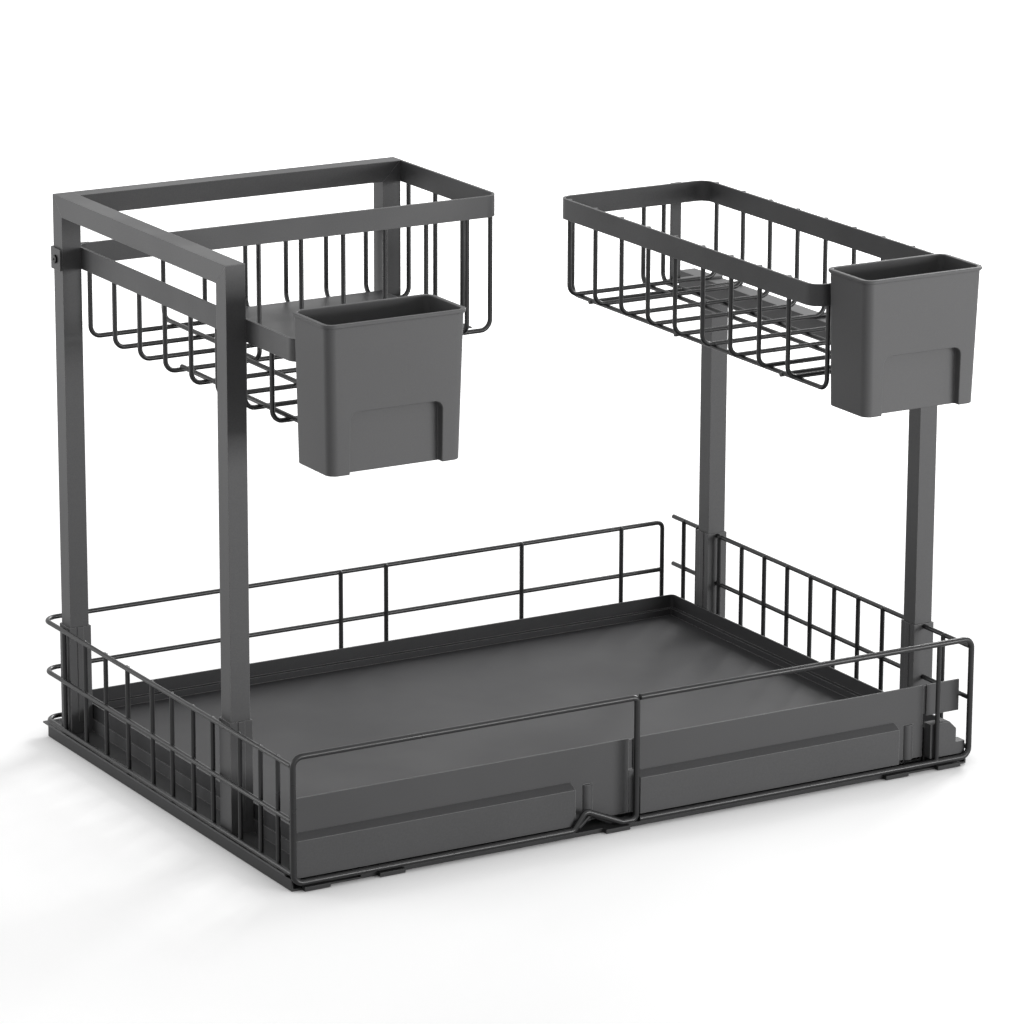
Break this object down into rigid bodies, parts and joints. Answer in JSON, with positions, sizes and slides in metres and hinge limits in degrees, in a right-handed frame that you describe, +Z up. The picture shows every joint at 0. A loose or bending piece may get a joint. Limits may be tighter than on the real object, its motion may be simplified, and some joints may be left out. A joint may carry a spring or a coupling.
{
  "type": "under sink organizer",
  "caption": "Pull-out organizer for under a sink: a fenced tray on slides, with posts that carry an L-shaped wire basket, a long wire basket and hanging cups.",
  "frame": {"origin": "middle of the four floor screws, on the cupboard floor", "axes": "+X to the right, +Y to the back of the cupboard, +Z up"},
  "size_m": [0.577, 0.4649, 0.42],
  "materials": {
    "coated_steel": "satin charcoal powder coat",
    "tray_steel": "satin charcoal powder coat on sheet",
    "slide_steel": "satin black powder coat",
    "cup_plastic": "fine matte charcoal moulding",
    "cap_plastic": "matte black moulding",
    "screw_steel": "blackened steel",
    "stop_rubber": "plain black"
  },
  "bodies": {
    "base": {"left_base_rail": "slide_steel", "right_base_rail": "slide_steel", "front_cross_bar": "slide_steel", "rear_cross_bar": "slide_steel", "left_rear_stop": "stop_rubber", "right_rear_stop": "stop_rubber"},
    "slide_middles": {"left_slide_middle": "slide_steel", "right_slide_middle": "slide_steel"},
    "tray": {"back_fence": "coated_steel", "back_strap": "coated_steel", "end_bracket": "coated_steel", "end_joiner": "coated_steel", "finger_pull": "coated_steel", "floor_plate": "tray_steel", "front_end_piece": "coated_steel", "front_left_post": "coated_steel", "front_left_socket": "coated_steel", "front_right_post": "coated_steel", "front_right_socket": "coated_steel", "guard_band": "coated_steel", "hanging_post": "coated_steel", "hanging_post_cap": "cap_plastic", "left_basket_rim": "coated_steel", "left_basket_wires": "coated_steel", "left_fence": "coated_steel", "left_front_loop": "coated_steel", "left_front_panel": "coated_steel", "left_lower_channel": "coated_steel", "left_side_rail": "coated_steel", "left_top_tube": "coated_steel", "left_tray_runner": "slide_steel", "middle_joiner": "coated_steel", "post_strap": "coated_steel", "rear_basket_wires": "coated_steel", "rear_left_post": "coated_steel", "rear_left_socket": "coated_steel", "rear_rail": "coated_steel", "rear_right_post": "coated_steel", "rear_right_socket": "coated_steel", "rear_top_tube": "coated_steel", "right_basket_rim": "coated_steel", "right_basket_wires": "coated_steel", "right_fence_front": "coated_steel", "right_fence_middle": "coated_steel", "right_fence_rear": "coated_steel", "right_front_loop": "coated_steel", "right_front_panel": "coated_steel", "right_lower_channel": "coated_steel", "right_side_rail": "coated_steel", "right_top_tube": "coated_steel", "right_tray_runner": "slide_steel", "right_tube_caps": "cap_plastic", "rim_screws": "screw_steel", "socket_screws": "screw_steel", "tray_pan": "tray_steel"},
    "left_cup": {"left_cup": "cup_plastic"},
    "right_cup": {"right_cup": "cup_plastic"}
  },
  "joints": [
    {"name": "tray_slide", "type": "slide", "parent": "base", "child": "tray", "axis": [0, -1, 0], "range_m": [0, 0.3]},
    {"name": "middle_slide", "type": "slide", "parent": "base", "child": "slide_middles", "axis": [0, -1, 0], "range_m": [0, 0.15]},
    {"name": "left_cup_lift", "type": "slide", "parent": "tray", "child": "left_cup", "axis": [0, 0, 1], "range_m": [0, 0.1]},
    {"name": "right_cup_lift", "type": "slide", "parent": "tray", "child": "right_cup", "axis": [0, 0, 1], "range_m": [0, 0.1]}
  ],
  "couplings": [
    {"joint": "middle_slide", "follows": "tray_slide", "ratio": 0.5}
  ]
}
